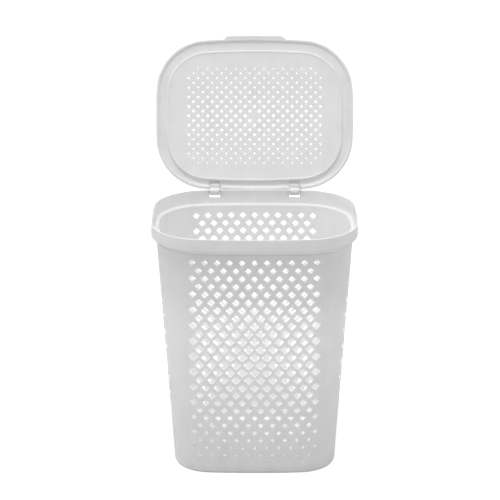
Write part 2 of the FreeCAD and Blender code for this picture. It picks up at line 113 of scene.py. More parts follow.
def writeShell(name, shell, weighted=True):
    # keeps only the points that a face uses, then builds one smooth-shaded object
    points = np.concatenate(shell["points"])
    rub = np.concatenate(shell["rub"])
    used = np.unique(np.concatenate([faces.reshape(-1) for faces in shell["faces"]]))
    newIndex = np.full(len(points), -1)
    newIndex[used] = np.arange(len(used))
    faceList = []
    for faces in shell["faces"]:
        faceList += newIndex[faces].tolist()
    mesh = bpy.data.meshes.new(name)
    mesh.from_pydata(points[used].tolist(), [], faceList)
    mesh.polygons.foreach_set("use_smooth", np.ones(len(mesh.polygons), bool))
    # point weight of a painted edge highlight on rims, foot and hole edges, also used as a wear
    # mask
    layer = mesh.attributes.new("rub", "FLOAT", "POINT")
    layer.data.foreach_set("value", rub[used])
    mesh.update()
    piece = bpy.data.objects.new(name, mesh)
    bpy.context.scene.collection.objects.link(piece)
    if weighted:
        modifier = piece.modifiers.new("evenShade", "WEIGHTED_NORMAL")
        modifier.mode = "FACE_AREA_WITH_ANGLE"
        modifier.weight = evenWeight
    return piece


# plan outline
def cornerCentre(halfX, halfY, corner, bowFront, bowSide):
    # the corner arc touches both bowed sides, so its centre lies (bow - corner) from each
    # bow's centre: the meeting point of two circles in the first quadrant
    riseFront, riseSide = bowFront - halfY, bowSide - halfX
    reachFront, reachSide = bowFront - corner, bowSide - corner
    apart = np.hypot(riseFront, riseSide)
    foot = (reachFront ** 2 - reachSide ** 2 + apart ** 2) / (2 * apart)
    rise = np.sqrt(reachFront ** 2 - foot ** 2)
    unitX, unitY = -riseSide / apart, riseFront / apart
    return foot * unitX + rise * unitY, -riseFront + foot * unitY - rise * unitX


def lineAt(s, halfX, halfY, corner, bowFront, bowSide):
    # distance of the front outline from the middle at a sideways place s:
    # on the bow, sqrt(R^2 - s^2) - rise; past the join, centre + sqrt(r^2 - (s - centre)^2)
    centreX, centreY = cornerCentre(halfX, halfY, corner, bowFront, bowSide)
    join = bowFront * centreX / (bowFront - corner)
    side = np.abs(s)
    onBow = np.sqrt(bowFront ** 2 - side ** 2) - (bowFront - halfY)
    past = np.clip(side - centreX, 0, corner)
    onCorner = centreY + np.sqrt(np.maximum(corner ** 2 - past ** 2, 0))
    return np.where(side <= join, onBow, onCorner)


def softRamp(u, sharpness):
    # 0 below u = 0 and 1 above u = 1, with rounded ends: difference of two soft pluses
    low = np.logaddexp(0, u * sharpness)
    high = np.logaddexp(0, (u - 1) * sharpness)
    return (low - high) / sharpness


def basketSection(z, inset, lift=0.0):
    # outline sizes of the basket at height z: straight taper from base to neck, then the
    # shoulder's soft ramp out to the rim; lift raises the shoulder on the inside
    b = basketShape
    taper = np.clip((z - b["baseZ"]) / (b["neckZ"] - b["baseZ"]), 0, 1)
    sharpness = np.where(np.asarray(lift) > 0, b["softInside"], b["softOutside"])
    ramp = softRamp((z - lift - b["neckZ"]) / b["shoulder"], sharpness)
    sizes = []
    for base, neck, rim in ((b["baseHalfX"], b["neckHalfX"], rimHalfX),
                            (b["baseHalfY"], b["neckHalfY"], rimHalfY),
                            (b["baseCorner"], b["neckCorner"], b["rimCorner"])):
        sizes.append(base + (neck - base) * taper + (rim - neck) * ramp - inset)
    return sizes + [outlineShape["bowFront"] - inset, outlineShape["bowSide"] - inset]


def wallHeight(z, lift):
    # heights of the inside wall are drawn together at the shoulder, which leaves a flat ledge
    b = basketShape
    return np.where(np.asarray(lift) > 0, np.interp(z, b["ledgeFrom"], b["ledgeTo"]), z)


# the four sides, counterclockwise from above: direction of walk and outward direction
sideFrames = [((1, 0), (0, -1)), ((0, 1), (1, 0)), ((-1, 0), (0, 1)), ((0, -1), (-1, 0))]


def wallPoints(side, s, z, inset, lift=0.0):
    # a point of one wall from its place s along the walk, its height and its depth
    s, z = np.broadcast_arrays(np.asarray(s, float), np.asarray(z, float))
    walk, out = sideFrames[side]
    halfX, halfY, corner, bowFront, bowSide = basketSection(z, inset, lift)
    if side % 2 == 0:
        reach = lineAt(s, halfX, halfY, corner, bowFront, bowSide)
    else:
        reach = lineAt(s, halfY, halfX, corner, bowSide, bowFront)
    return np.stack([walk[0] * s + out[0] * reach, walk[1] * s + out[1] * reach,
                     wallHeight(z, lift)], -1)


d = diamondShape
frontHalf = d["columns"]          # half pitches from the middle to the pattern's edge
sideHalf = d["sideColumns"]
cornerGrow = 2.4                  # a diamond's width grows by this much of its rounded edge
halfPitch = d["pitch"] / 2
patternHalf = [frontHalf, sideHalf, frontHalf, sideHalf]
firstRowZ = rimTop - d["firstDrop"]
latticeZ = firstRowZ - d["row"] * np.arange(d["rows"], -2, -1)      # upward, rows + 2 levels


def sidePlaces(side, z):
    # places of the vertical grid lines of one wall; above the shoulder of the back wall the
    # two lines beside each hinge move onto the notch
    lines = halfPitch * np.arange(-patternHalf[side], patternHalf[side] + 1)
    places = np.broadcast_to(lines, (len(z), len(lines))).copy()
    if side == 2:
        n = notchShape
        above = z > basketShape["neckZ"] + 0.5 * basketShape["shoulder"]
        for sign in (-1, 1):
            for line, step in zip(n["lines"], (-0.5, 0.0, 0.5)):
                place = n["offset"] + step * n["width"]
                places[above, frontHalf + sign * line] = sign * place
    return places


def basketRows(z, inset, lift=0.0):
    # every grid point of some levels: walls by their lines, corners by equal angles
    z = np.asarray(z, float)
    inset = np.broadcast_to(np.asarray(inset, float), z.shape)
    blocks = []
    walls = [wallPoints(side, sidePlaces(side, z), z[:, None], inset[:, None], lift)
             for side in range(4)]
    halfX, halfY, corner, bowFront, bowSide = basketSection(z, inset, lift)
    centreX, centreY = cornerCentre(halfX, halfY, corner, bowFront, bowSide)
    signs = [(1, -1), (1, 1), (-1, 1), (-1, -1)]
    for side in range(4):
        start, end = walls[side][:, -1], walls[(side + 1) % 4][:, 0]
        middle = np.stack([centreX * signs[side][0], centreY * signs[side][1]], -1)
        first = np.arctan2(*(start[:, :2] - middle).T[::-1])
        last = np.arctan2(*(end[:, :2] - middle).T[::-1])
        last = np.where(last < first, last + 2 * math.pi, last)
        step = np.linspace(0, 1, basketShape["cornerSteps"] + 1)[1:-1]
        angle = first[:, None] + (last - first)[:, None] * step
        radius = np.hypot(*(start[:, :2] - middle).T)[:, None]
        bend = np.stack([middle[:, None, 0] + radius * np.cos(angle),
                         middle[:, None, 1] + radius * np.sin(angle),
                         np.broadcast_to(wallHeight(z, lift)[:, None], angle.shape)], -1)
        blocks += [walls[side], bend]
    return np.concatenate(blocks, axis=1)


wallStart = []
column = 0
for side in range(4):
    wallStart.append(column)
    column += 2 * patternHalf[side] + basketShape["cornerSteps"]
columnCount = column


# diamond holes
def diamondRing(width, height, cut):
    # twelve points round each diamond, counterclockwise: every corner is cut back along both
    # edges by a share of their length and closed by the middle of a quadratic curve
    zero = np.zeros_like(width)
    tips = np.stack([np.stack([width, zero], -1), np.stack([zero, height], -1),
                     np.stack([-width, zero], -1), np.stack([zero, -height], -1)], 1) / 2
    before, after = np.roll(tips, 1, axis=1), np.roll(tips, -1, axis=1)
    first = tips + (before - tips) * cut
    last = tips + (after - tips) * cut
    middle = 0.25 * first + 0.5 * tips + 0.25 * last
    return np.stack([first, middle, last], 2).reshape(len(width), 12, 2)


def pierce(shell, outer, inner, isHole, holeRows, holeLines, centres, width, height,
           depth, edge, place, skip=None):
    # one sheet with diamond holes between two lattices of points. Each lattice cell is split
    # along the diagonal that joins two corners of diamonds' own tiles; a half that belongs to
    # a hole is left out, and a ring of faces closes the tile round the hole
    rows, lines = outer.shape
    row, line = np.meshgrid(np.arange(rows - 1), np.arange(lines - 1), indexing="ij")
    row, line = row.reshape(-1), line.reshape(-1)
    if skip is not None:
        keep = ~skip[row, line]
        row, line = row[keep], line[keep]
    square = [(row, line), (row, line + 1), (row + 1, line + 1), (row + 1, line)]
    for turn in range(4):
        middle, after, before = square[turn], square[(turn + 1) % 4], square[turn - 1]
        chosen = isHole["tile"][middle] & ~isHole["open"][middle]
        a = outer[middle][chosen], outer[after][chosen], outer[before][chosen]
        b = inner[middle][chosen], inner[before][chosen], inner[after][chosen]
        addFaces(shell, *a)
        addFaces(shell, *b)
    around = [(holeRows, holeLines + 1), (holeRows + 1, holeLines),
              (holeRows, holeLines - 1), (holeRows - 1, holeLines)]
    rings = []
    # the hole edge rings carry the painted edge highlight and wear weight
    for inset, grow, rub in ((0, edge, 0.7), (edge, 0, 1.0), (depth - edge, 0, 1.0),
                             (depth, edge, 0.7)):
        ring = diamondRing(width + cornerGrow * grow, height + cornerGrow * grow,
                           diamondShape["cornerCut"])
        ring = ring + centres[:, None, :]
        rings.append(addPoints(shell, place(ring[..., 0], ring[..., 1], inset), rub))
    for ring, lattice, flip in ((rings[0], outer, False), (rings[3], inner, True)):
        for turn in range(4):
            here = lattice[around[turn]]
            there = lattice[around[(turn + 1) % 4]]
            first, middle, last = (ring[:, 3 * turn + k] for k in range(3))
            following = ring[:, (3 * turn + 3) % 12]
            for face in ((here, middle, first), (here, last, middle),
                         (here, there, following, last)):
                addFaces(shell, *(face[::-1] if flip else face))
    for upper, lower in zip(rings[:-1], rings[1:]):
        addFaces(shell, upper, np.roll(upper, -1, 1), np.roll(lower, -1, 1), lower)


def wallWidth(row):
    # diamonds are widest in the middle row and shrink in a straight line up and down
    middle = (d["rows"] - 1) / 2
    up = d["top"] + (d["middle"] - d["top"]) * row / middle
    down = d["middle"] + (d["bottom"] - d["middle"]) * (row - middle) / middle
    return np.where(row <= middle, up, down)


def holeMap(rows, lines, half, firstRow):
    # lattice marks: a tile's middle where row and line are both even or both odd from the
    # pattern's middle, and a hole where it isn't on the border; level 0 is the lowest
    level, line = np.meshgrid(np.arange(rows), np.arange(lines), indexing="ij")
    row = rows - 2 - level                      # pattern row, 0 at the top
    tile = (row + line - half) % 2 == 0
    inside = (level > 0) & (level < rows - 1) & (line > 0) & (line < lines - 1)
    return dict(tile=tile, open=tile & inside & (row >= firstRow)), row


# basket
def buildBasket():
    b = basketShape
    shell = newShell()
    wall = b["wall"]
    turn = np.linspace(0, math.pi / 2, 6)
    footZ = b["footRound"] * (1 - np.cos(turn))
    footInset = b["footRound"] * (1 - np.sin(turn))
    rampZ = b["neckZ"] + b["shoulder"] * np.linspace(-0.12, 1.45, 15)
    notchZ = rimTop - notchShape["depth"]
    plainZ = np.array([notchZ, notchZ + 0.004, rimTop - 0.006, rimTop - 2.5 * b["rimRound"]])
    rimTurn = np.linspace(0, math.pi / 2, 5)
    rimZ = rimTop - b["rimRound"] * (1 - np.sin(rimTurn))
    rimInset = b["rimRound"] * (1 - np.cos(rimTurn))
    floorZ = b["floor"] + b["floorRound"] * (1 - np.sin(turn))
    floorInset = wall + b["floorRound"] * (1 - np.cos(turn))

    # levels of the outside from the floor up, and of the inside from the floor up
    outZ = np.concatenate([footZ, latticeZ, rampZ, plainZ, rimZ])
    outInset = np.concatenate([footInset, 0 * latticeZ, 0 * rampZ, 0 * plainZ, rimInset])
    # weights for the painted edge highlight and wear: the rounded foot and the rim top
    outWearAndSheen = np.concatenate([0.6 + 0 * footZ, 0 * latticeZ, 0 * rampZ, 0 * plainZ,
                             1 + 0 * rimZ])
    lift = b["insideLift"]
    inRampZ = rampZ + lift
    inZ = np.concatenate([floorZ[::-1], latticeZ, inRampZ, plainZ, rimZ[:-1]])
    inInset = np.concatenate([floorInset[::-1], wall + 0 * latticeZ, wall + 0 * rampZ,
                              wall + 0 * plainZ, wall - rimInset[:-1]])
    inWearAndSheen = np.concatenate([0 * floorZ, 0 * latticeZ, 0 * rampZ, 0 * plainZ, 1 + 0 * rimZ[:-1]])
    outside = addPoints(shell, basketRows(outZ, outInset),
                        np.repeat(outWearAndSheen[:, None], columnCount, 1))
    inside = addPoints(shell, basketRows(inZ, inInset, lift),
                       np.repeat(inWearAndSheen[:, None], columnCount, 1))
    lowest = len(footZ)
    highest = lowest + len(latticeZ) - 1
    cells = np.ones((len(outZ) - 1, columnCount), bool)      # plain quads of the outside
    cells[lowest:highest] = False
    for side in range(4):                                    # corners between the patterns
        first = wallStart[side] + 2 * patternHalf[side]
        cells[lowest:highest, first:first + b["cornerSteps"]] = True
    notchRow = int(np.argmin(np.abs(outZ - notchZ)))
    notchSpans = []
    for sign in (-1, 1):
        start = wallStart[2] + frontHalf + (notchShape["lines"][0] if sign > 0
                                            else -notchShape["lines"][-1])
        notchSpans.append(start)
        cells[notchRow:, start:start + 2] = False
    row, line = np.nonzero(cells)
    after = (line + 1) % columnCount
    addFaces(shell, outside[row, line], outside[row, after], outside[row + 1, after],
             outside[row + 1, line])
    inCells = row < len(inZ) - 1
    r, c, n = row[inCells], line[inCells], after[inCells]
    addFaces(shell, inside[r, c], inside[r + 1, c], inside[r + 1, n], inside[r, n])
    top = row == len(outZ) - 2                                # close the rim's round top
    addFaces(shell, outside[-1, line[top]], outside[-1, after[top]], inside[-1, after[top]],
             inside[-1, line[top]])

    # notch walls: a sill across the wall and two cheeks, quads between outside and inside
    for start in notchSpans:
        for step in range(2):
            c = start + step
            addFaces(shell, outside[notchRow, c], outside[notchRow, c + 1],
                     inside[notchRow, c + 1], inside[notchRow, c])
        for c, flip in ((start, True), (start + 2, False)):
            low = np.arange(notchRow, len(outZ) - 2)
            face = (outside[low, c], inside[low, c], inside[low + 1, c], outside[low + 1, c])
            addFaces(shell, *(face if flip else face[::-1]))
            cap = (outside[-2, c], inside[-1, c], outside[-1, c])
            addFaces(shell, *(cap if flip else cap[::-1]))

    for side in range(4):
        first = wallStart[side]
        span = (np.arange(first, first + 2 * patternHalf[side] + 1)) % columnCount
        outer = outside[lowest:highest + 1][:, span]
        inner = inside[lowest:highest + 1][:, span]
        firstRow = 0 if side % 2 == 0 else d["sideFirstRow"]
        marks, rowOf = holeMap(len(latticeZ), len(span), patternHalf[side], firstRow)
        skip = None
        if side % 2 == 1:
            skip = np.zeros((len(latticeZ) - 1, len(span) - 1), bool)
            reach = holdShape["lines"]
            skip[-holdShape["levels"]:, sideHalf - reach:sideHalf + reach] = True
        level, holeLine = np.nonzero(marks["open"])
        width = wallWidth(rowOf[marks["open"]])
        centres = np.stack([halfPitch * (holeLine - patternHalf[side]), latticeZ[level]], -1)
        pierce(shell, outer, inner, marks, level, holeLine, centres, width,
               width * d["aspect"], wall, d["edge"],
               lambda s, z, inset, side=side: wallPoints(side, s, z, inset,
                                                         lift * (inset > wall / 2)), skip)
        if side % 2 == 1:
            cutHandHold(shell, outer, inner, side)
    closeBottom(shell, outside[0], inside[0], outZ[0], inZ[0])
    return writeShell("basketShell", shell)


def cutHandHold(shell, outer, inner, side):
    # slot with round ends. Each point of the border round it, and each border edge's middle,
    # is carried to the slot's edge along the shortest way from the slot's straight core
    h = holdShape
    half, reach, wall = sideHalf, h["lines"], basketShape["wall"]
    top = len(latticeZ) - 1
    low = top - h["levels"]
    border = ([(top - 1, half + reach)] + [(top, half + i) for i in range(reach, -reach - 1, -1)]
              + [(top - 1, half - reach)] + [(low, half + i) for i in range(-reach, reach + 1)])
    rows = np.array([place[0] for place in border])
    lines = np.array([place[1] for place in border])
    spots = np.stack([halfPitch * (lines - half), latticeZ[rows]], -1)
    both = np.stack([spots, (spots + np.roll(spots, -1, 0)) / 2], 1).reshape(-1, 2)
    centreZ = rimTop - h["drop"]
    core = (h["length"] - h["height"]) / 2
    foot = np.stack([np.clip(both[:, 0], -core, core), np.full(len(both), centreZ)], -1)
    away = both - foot
    away /= np.linalg.norm(away, axis=1)[:, None]
    rings = []
    for inset, grow, rub in ((0, h["edge"], 0.7), (h["edge"], 0, 1),
                             (wall - h["edge"], 0, 1), (wall, h["edge"], 0.7)):
        ring = foot + away * (h["height"] / 2 + grow)
        lift = basketShape["insideLift"] * (inset > wall / 2)
        rings.append(addPoints(shell, wallPoints(side, ring[:, 0], ring[:, 1], inset, lift),
                               rub))
    for ring, lattice, flip in ((rings[0], outer, False), (rings[3], inner, True)):
        node = lattice[rows, lines]
        following = np.roll(node, -1)
        here, middle, there = ring[0::2], ring[1::2], np.roll(ring[0::2], -1)
        for face in ((node, following, middle), (node, middle, here),
                     (following, there, middle)):
            addFaces(shell, *(face[::-1] if flip else face))
    for upper, lower in zip(rings[:-1], rings[1:]):
        gridFaces(shell, upper, lower)


def closeBottom(shell, underside, floor, underZ, floorZ):
    # base plate: rings that shrink to the middle, with a shallow recess underneath that
    # leaves a foot ring, and a fan round one middle point
    edgeUnder = np.concatenate(shell["points"])[underside]
    edgeFloor = np.concatenate(shell["points"])[floor]
    shares, recess = basketShape["plateShares"], basketShape["plateRecess"]
    for edge, ring, z, lift, flip in ((edgeUnder, underside, underZ, recess, False),
                                      (edgeFloor, floor, floorZ, [0] * len(shares), True)):
        for share, rise in zip(shares, lift):
            points = edge * [share, share, 0] + [0, 0, z + rise]
            inner = addPoints(shell, points)
            if flip:
                gridFaces(shell, ring, inner)
            else:
                gridFaces(shell, inner, ring)
            ring = inner
        centre = addPoints(shell, np.array([[0, 0, z + lift[-1]]]))
        centre = np.full(len(ring), centre[0])
        after = np.roll(ring, -1)
        addFaces(shell, *((ring, after, centre) if flip else (after, ring, centre)))


basketShell = buildBasket()


# ears behind the collar, two at each hinge
earShape = dict(thickness=0.005, radius=0.006, reach=0.013, stopDrop=0.00025, topDrop=0.001,
                sink=0.0012, edge=0.0005, arcSteps=14)


bevelShape = dict(segments=3, sharpest=28)


def extrude(name, profile, low, high, edge, frameOf):
    # closed profile swept between two places, then a small rounded edge from a bevel
    shell = newShell()
    first = addPoints(shell, frameOf(profile, low))
    last = addPoints(shell, frameOf(profile, high))
    gridFaces(shell, first, last)
    addFaces(shell, *[first[i:i + 1] for i in range(len(profile) - 1, -1, -1)])
    addFaces(shell, *[last[i:i + 1] for i in range(len(profile))])
    piece = writeShell(name, shell, weighted=False)
    bevel = piece.modifiers.new("softEdge", "BEVEL")
    bevel.width = edge
    bevel.segments = bevelShape["segments"]
    bevel.limit_method = "ANGLE"
    bevel.angle_limit = math.radians(bevelShape["sharpest"])
    even = piece.modifiers.new("evenShade", "WEIGHTED_NORMAL")
    even.mode = "FACE_AREA"
    even.weight = evenWeight
    return piece


def acrossX(profile, x):
    return np.stack([np.full(len(profile), x), profile[:, 0], profile[:, 1]], -1)


def buildEar(name, startX):
    # round eye about the hinge axis, a stop shelf behind it, and a root sunk in the wall
    e = earShape
    back = lineAt(np.array([startX, startX + e["thickness"]]), rimHalfX, rimHalfY,
                  basketShape["rimCorner"], outlineShape["bowFront"],
                  outlineShape["bowSide"]).min() - e["sink"]
    low = hingeZ - e["radius"]
    start = -math.asin(e["stopDrop"] / e["radius"])
    end = math.pi - math.asin((e["radius"] - e["topDrop"]) / e["radius"])
    turn = np.linspace(start, end, e["arcSteps"])
    arc = np.stack([hingeY + e["radius"] * np.cos(turn), hingeZ + e["radius"] * np.sin(turn)], -1)
    profile = np.concatenate([[[back, low], [hingeY + e["reach"], low],
                               [hingeY + e["reach"], hingeZ - e["stopDrop"]]], arc,
                              [[back, hingeZ + e["radius"] - e["topDrop"]]]])
    return extrude(name, profile, startX, startX + e["thickness"], e["edge"], acrossX)


ears = []
for hand, middle in (("Left", -notchShape["offset"]), ("Right", notchShape["offset"])):
    half = notchShape["width"] / 2
    ears.append(buildEar("ear" + hand + "Inner", middle - half - earShape["thickness"]))
    ears.append(buildEar("ear" + hand + "Outer", middle + half))
for piece in [basketShell] + ears:
    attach(piece, "basket")
    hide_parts("basket_body")
print("basket:", len(basketShell.data.polygons), "faces and", len(ears), "ears")


# lid, worked out closed and then swung open about the hinge axis
lidShape = dict(
    gap=0.0004, overhang=0.001, height=0.0066, skin=0.0022, bevel=0.0025, lip=0.0045,
    panelSide=0.025, panelFront=0.0275, panelBack=0.021, sink=0.0016,
    soft=0.0009, cove=0.0016, beadSlope=0.0055, beadRound=0.0022,
    spare=0.0001, ridge=0.0007, ridgeIn=0.0046, ridgeWide=0.0024, channelRise=0.00036)
dotShape = dict(pitch=0.02055, row=0.01033, rows=21, columns=15, edge=0.0047, middle=0.0092,
                round=0.0004, sideShare=0.7)
lidHalfX, lidHalfY = (half + lidShape["overhang"] - lidShape["spare"]
                      for half in (rimHalfX, rimHalfY))
lidCorner = basketShape["rimCorner"] + lidShape["overhang"]
panelY = (lidShape["panelFront"] - lidShape["panelBack"]) / 2
lidLow = rimTop + lidShape["gap"]
lidTop = lidLow + lidShape["height"]
panelLow = lidLow - lidShape["sink"]


def swing(points):
    # turns closed-lid points about the hinge axis by the open angle
    y, z = points[..., 1] - hingeY, points[..., 2] - hingeZ
    cosine, sine = math.cos(openAngle), -math.sin(openAngle)
    return np.stack([points[..., 0], hingeY + y * cosine - z * sine,
                     hingeZ + y * sine + z * cosine], -1)


def underPlace(s, t, lift):
    # the underside faces down when closed: s runs to the right and t to the front
    s, t, lift = np.broadcast_arrays(s, t, lift)
    return swing(np.stack([s, panelY - t, panelLow + lift], -1))


def outlineAt(angles, halfX, halfY, corner, centreT, inset):
    # radius of a bowed rounded rectangle in given directions: the first quarter is walked as
    # side bow, corner arc, front bow, mirrored four times, and read off by direction
    bowFront, bowSide = outlineShape["bowFront"] - inset, outlineShape["bowSide"] - inset
    halfX, halfY, corner = halfX - inset, halfY - inset, corner - inset
    centreX, centreY = cornerCentre(halfX, halfY, corner, bowFront, bowSide)
    low = np.arctan2(centreY, centreX + bowSide - halfX)
    high = np.arctan2(centreY + bowFront - halfY, centreX)
    sideTurn = np.linspace(0, low, 60)
    bendTurn = np.linspace(low, high, 240)[1:-1]
    frontTurn = np.linspace(high, math.pi / 2, 60)
    x = np.concatenate([halfX - bowSide + bowSide * np.cos(sideTurn),
                        centreX + corner * np.cos(bendTurn), bowFront * np.cos(frontTurn)])
    t = np.concatenate([bowSide * np.sin(sideTurn), centreY + corner * np.sin(bendTurn),
                        halfY - bowFront + bowFront * np.sin(frontTurn)])
    x = np.concatenate([x, -x[::-1], -x, x[::-1]])
    t = np.concatenate([t, t[::-1], -t, -t[::-1]]) + centreT
    direction = np.arctan2(t, x) % (2 * math.pi)
    order = np.argsort(direction)
    return np.interp(angles, direction[order], np.hypot(x, t)[order], period=2 * math.pi)


def arcSteps(insetStart, insetEnd, liftStart, liftEnd, convexFirst, steps=4):
    # quarter round between two corners of the section; convexFirst tells which way it turns
    turn = np.linspace(0, math.pi / 2, steps + 1)
    a, b = (np.sin(turn), 1 - np.cos(turn)) if convexFirst else (1 - np.cos(turn), np.sin(turn))
    return [(insetStart + (insetEnd - insetStart) * p, liftStart + (liftEnd - liftStart) * q)
            for p, q in zip(a, b)]


def buildLid():
    v, dot = lidShape, dotShape
    shell = newShell()
    halfRows, halfLines = dot["rows"] // 2 + 1, dot["columns"]
    level, line = np.meshgrid(np.arange(-halfRows, halfRows + 1),
                              np.arange(-halfLines, halfLines + 1), indexing="ij")
    s, t = line * dot["pitch"] / 2, level * dot["row"]
    under = addPoints(shell, underPlace(s, t, 0.0))
    upper = addPoints(shell, underPlace(s, t, v["skin"]))
    tile = (level + line) % 2 == 0
    inside = (np.abs(level) < halfRows) & (np.abs(line) < halfLines)
    outerRow = (np.abs(level) == halfRows - 1) & (np.abs(line) > dot["columns"] - 3)
    middleDot = (level == 0) & (line == 0)
    marks = dict(tile=tile, open=tile & inside & ~outerRow & ~middleDot)
    spotLevel, spotLine = np.nonzero(marks["open"])
    column = np.abs(line[marks["open"]]) / dot["columns"]
    row = np.abs(level[marks["open"]]) / (halfRows - 1)
    growth = (1 - row) * (dot["sideShare"] + (1 - dot["sideShare"]) * (1 - column))
    width = dot["edge"] + (dot["middle"] - dot["edge"]) * growth
    centres = np.stack([s[marks["open"]], t[marks["open"]]], -1)
    width = width - cornerGrow * dot["round"]
    pierce(shell, under, upper, marks, spotLevel, spotLine, centres, width, width,
           v["skin"], dot["round"], underPlace)

    # section of the lid round the panel: (outline, inset, lift above the panel's underside, share
    # of painted edge highlight and wear)
    panel = (lidHalfX - v["panelSide"],
             lidHalfY - (v["panelFront"] + v["panelBack"]) / 2,
             lidCorner - (v["panelFront"] + v["panelBack"]) / 2, 0.0)
    whole = (lidHalfX, lidHalfY, lidCorner, panelY)
    channelLift = lidTop - v["skin"] - panelLow
    lipLift, topLift = lidLow - panelLow, lidTop - panelLow
    soft, cove, lip = v["soft"], v["cove"], v["lip"]
    section = []
    # low ridge round the panel, a raised cosine, then the panel's outer wall
    for turn in np.linspace(0, math.pi, 6):
        section.append((panel, v["ridgeIn"] - (v["ridgeIn"] - v["ridgeWide"]) * turn / math.pi,
                        -v["ridge"] * (1 - math.cos(turn)) / 2, 0.3))
    section += [(panel, i, l, 1.0) for i, l in arcSteps(soft, 0, -v["ridge"], soft, True)]
    section += [(panel, i, l, 0.0) for i, l in arcSteps(0, -cove, channelLift - cove,
                                                        channelLift, False)]
    section += [("channel", share, channelLift + v["channelRise"] * lift, 0.0)
                for share, lift in ((0.25, 0.0), (0.5, -0.3), (0.75, -1.0))]
    # the bead: an S-curve down from the channel, a flat crest and a rounded outer edge
    beadIn = lip + v["beadSlope"]
    for turn in np.linspace(0, math.pi, 8):
        section.append((whole, beadIn - v["beadSlope"] * turn / math.pi,
                        channelLift - v["channelRise"] * 1.5
                        + (lipLift - channelLift + v["channelRise"] * 1.5)
                        * (1 - math.cos(turn)) / 2, 0.2))
    section += [(whole, i, l, 1.0) for i, l in arcSteps(v["beadRound"], 0, lipLift,
                                                        lipLift + v["beadRound"], True)]
    section += [(whole, i, l, 1.0) for i, l in arcSteps(0, v["bevel"], topLift - v["bevel"],
                                                        topLift, False, 6)]
    skin = v["skin"]
    section += [(panel, i, l, 1.0) for i, l in arcSteps(skin - soft, skin, topLift,
                                                        topLift - soft, True)]
    section += [(panel, i, l, 0.0) for i, l in arcSteps(skin, skin + cove, skin + cove, skin,
                                                        False)]

    # loop of border points of the dotted field, with a point between each two
    border = [(0, i) for i in range(0, 2 * halfLines)]
    border += [(i, 2 * halfLines) for i in range(0, 2 * halfRows)]
    border += [(2 * halfRows, i) for i in range(2 * halfLines, 0, -1)]
    border += [(i, 0) for i in range(2 * halfRows, 0, -1)]
    rows, lines = np.array(border).T
    spots = np.stack([s[rows, lines], t[rows, lines]], -1)
    both = np.stack([spots, (spots + np.roll(spots, -1, 0)) / 2], 1).reshape(-1, 2)
    angles = np.arctan2(both[:, 1], both[:, 0])
    channelFrom = outlineAt(angles, *panel, -cove)
    channelTo = outlineAt(angles, *whole, lip + v["beadSlope"] + 0.001)
    previous = under[rows, lines]
    for index, (outline, inset, lift, rub) in enumerate(section):
        if outline == "channel":
            radius = channelFrom + (channelTo - channelFrom) * inset
        else:
            radius = outlineAt(angles, *outline, inset)
        ring = addPoints(shell, underPlace(radius * np.cos(angles), radius * np.sin(angles),
                                           lift), rub)
        if index == 0:
            joinDouble(shell, previous, ring, False)
        else:
            gridFaces(shell, ring, previous)
        previous = ring
    joinDouble(shell, upper[rows, lines], previous, True)
    return writeShell("lidShell", shell)


def joinDouble(shell, single, double, flip):
    # a ring of points joined to a ring with twice as many, three triangles for each step
    here, middle, there = double[0::2], double[1::2], np.roll(double[0::2], -1)
    following = np.roll(single, -1)
    for face in ((here, middle, single), (middle, there, following),
                 (middle, following, single)):
        addFaces(shell, *(face[::-1] if flip else face))


lidShell = buildLid()

tabShape = dict(half=0.059, flare=0.009, reach=0.0064, thickness=0.0025, lift=0.001, root=0.0030,
                edge=0.0007, soft=0.005, foot=0.002)


def buildTab():
    # flat strip with sloping ends, its corners rounded in plan, rooted in the lip
    b = tabShape
    edge, narrow, wide = lidHalfY, b["half"], b["half"] + b["flare"]
    turn = np.linspace(0, 1, 6)[:, None]

    def bend(before, corner, after):
        # quadratic curve that cuts a plan corner, starting b.soft before it
        before, corner, after = (np.array(point, float) for point in (before, corner, after))
        first = corner + (before - corner) / np.linalg.norm(before - corner) * b["soft"]
        last = corner + (after - corner) / np.linalg.norm(after - corner) * b["soft"]
        return (1 - turn) ** 2 * first + 2 * turn * (1 - turn) * corner + turn ** 2 * last

    root, foot = [wide, edge - b["root"]], [wide, edge - b["foot"]]
    tip, otherTip = [narrow, edge + b["reach"]], [-narrow, edge + b["reach"]]
    right = bend(foot, tip, otherTip)
    left = bend(tip, otherTip, [-foot[0], foot[1]])
    profile = np.concatenate([[root, foot], right, left, [[-foot[0], foot[1]],
                                                          [-root[0], root[1]]]])

    def flat(points, height):
        return swing(np.stack([points[:, 0], -points[:, 1], np.full(len(points), height)], -1))

    low = lidLow + b["lift"]
    return extrude("fingerTab", profile[::-1], low, low + b["thickness"], b["edge"], flat)


ribShape = dict(gap=0.0216, thickness=0.0016, length=0.010, back=0.0105, rise=0.0005,
                sunk=0.0015, edge=0.0004)


def buildRib(name, startX):
    # low plate under the channel beside a hinge clip
    b = ribShape
    back = hingeY - b["back"]
    front, low, high = back - b["length"], lidLow + b["rise"], lidTop - b["sunk"]
    profile = np.array([[front, high], [front, low], [back, low], [back, high]])
    return extrude(name, profile, startX, startX + b["thickness"], b["edge"],
                   lambda points, x: swing(acrossX(points, x)))


clipShape = dict(width=0.021, barrel=0.0083, arm=0.003, reach=0.0155, pad=0.012, step=0.002,
                 padThick=0.002, top=0.0108, edge=0.0005, arcSteps=36)


